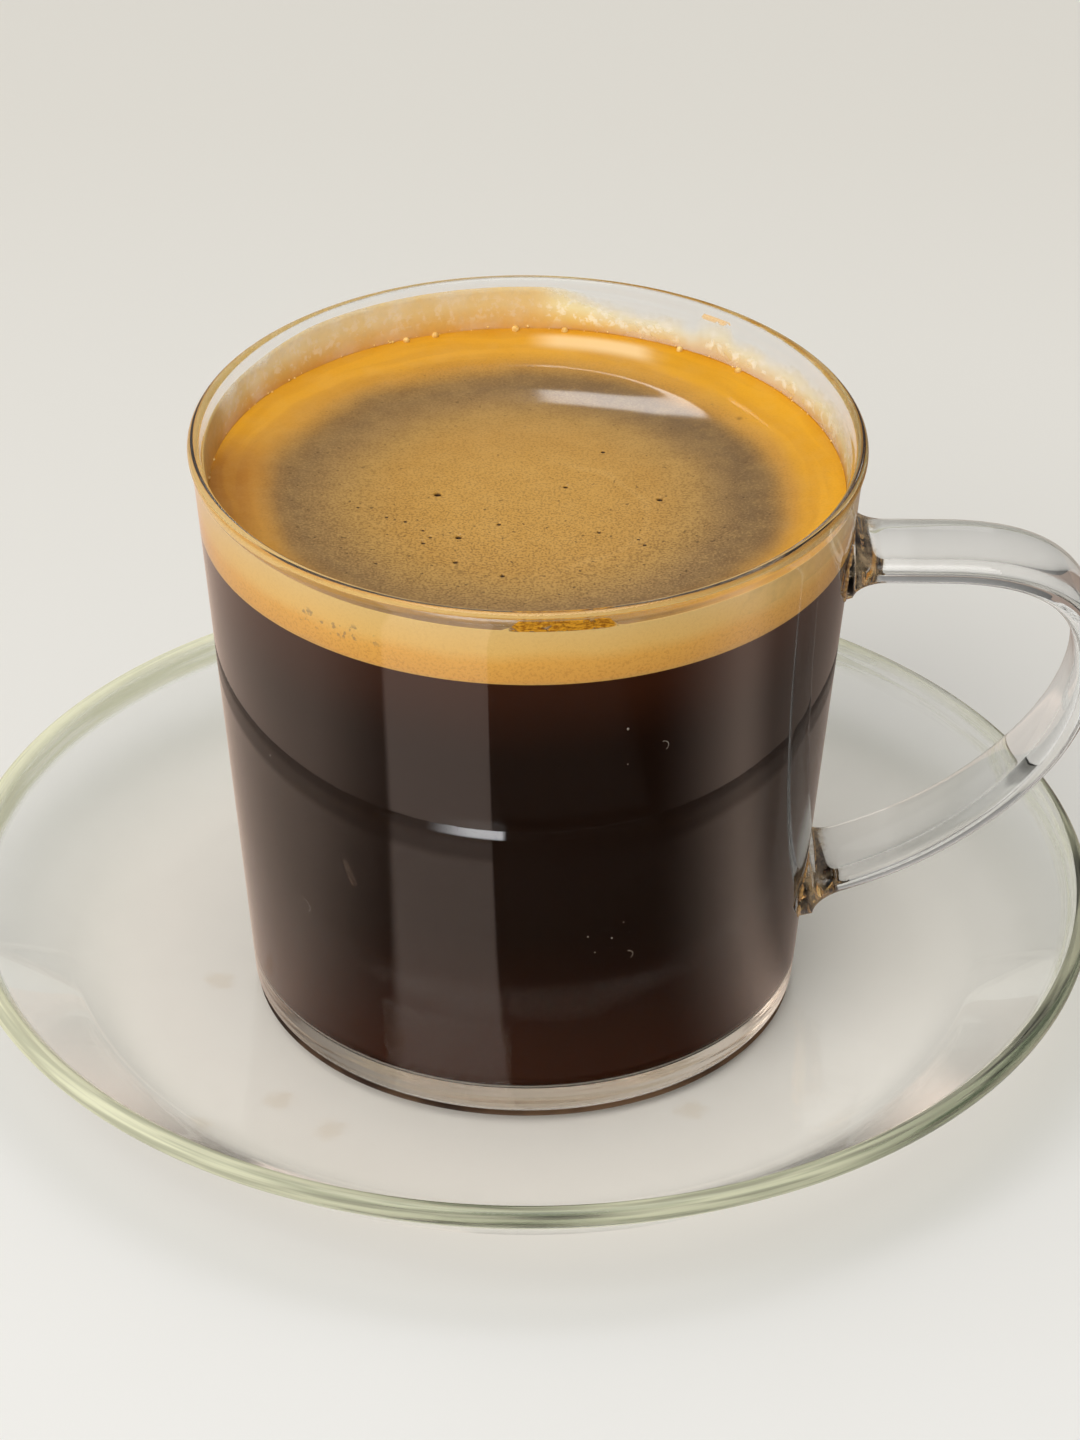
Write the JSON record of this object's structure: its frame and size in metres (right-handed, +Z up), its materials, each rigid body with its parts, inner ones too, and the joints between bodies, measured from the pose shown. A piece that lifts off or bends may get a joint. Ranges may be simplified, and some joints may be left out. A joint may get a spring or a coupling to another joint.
{
  "type": "glass cup of black coffee on a saucer",
  "caption": "Clear glass cup with a strap handle, filled with black coffee under a golden crema, standing on its round glass saucer.",
  "frame": {"origin": "middle of the saucer's flat foot, on the surface it stands on", "axes": "+Z up along the axis of cup and saucer, +X towards the cup's handle, +Y to the left of the handle"},
  "size_m": [0.1388, 0.1388, 0.0772],
  "materials": {
    "saucer_glass": "smooth clear glass, faintly green where it is thick",
    "cup_glass": "smooth clear glass",
    "coffee": "still black coffee, glossy where it meets the glass",
    "crema": "fine golden foam with a greyer ring and dark pinholes"
  },
  "bodies": {
    "root": {"saucer": "saucer_glass", "cup_glass": "cup_glass", "coffee": "coffee", "crema": "crema"}
  },
  "joints": []
}
